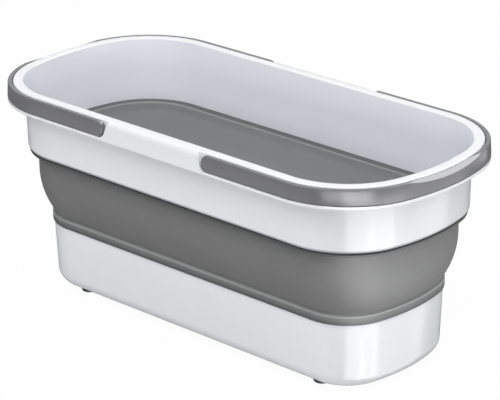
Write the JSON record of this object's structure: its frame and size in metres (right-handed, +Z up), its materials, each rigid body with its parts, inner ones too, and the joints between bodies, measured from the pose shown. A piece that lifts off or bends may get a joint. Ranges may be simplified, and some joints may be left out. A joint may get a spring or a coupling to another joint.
{
  "type": "collapsible bucket",
  "caption": "Long rounded folding bucket: rigid upper and base shells joined by a soft folding band, with bail handles lying in the rim.",
  "frame": {"origin": "on the ground under the middle of the bucket, at the underside of the foot pads", "axes": "+X along the bucket's length towards the right handle, +Y across it to the rear, +Z up"},
  "size_m": [0.4298, 0.2042, 0.183],
  "materials": {
    "white_plastic": "injection-moulded white polypropylene, satin gloss",
    "grey_elastomer": "moulded grey thermoplastic elastomer, matt",
    "grey_plastic": "injection-moulded grey polypropylene, satin",
    "foot_rubber": "dark grey rubber, matt"
  },
  "bodies": {
    "base": {"base_shell": "white_plastic", "folding_band": "grey_elastomer", "foot_front_left": "foot_rubber", "foot_front_right": "foot_rubber", "foot_rear_left": "foot_rubber", "foot_rear_right": "foot_rubber"},
    "rim": {"upper_shell": "white_plastic"},
    "left_bail": {"left_handle": "grey_plastic"},
    "right_bail": {"right_handle": "grey_plastic"}
  },
  "joints": [
    {"name": "collapse", "type": "slide", "parent": "base", "child": "rim", "axis": [0, 0, -1], "range_m": [0, 0.103], "deforming": ["folding_band"]},
    {"name": "left_handle_swing", "type": "hinge", "parent": "rim", "child": "left_bail", "pos_m": [-0.0586, 0, 0.1763], "axis": [0, 1, 0], "range_deg": [0, 105]},
    {"name": "right_handle_swing", "type": "hinge", "parent": "rim", "child": "right_bail", "pos_m": [0.0586, 0, 0.1763], "axis": [0, -1, 0], "range_deg": [0, 105]}
  ]
}
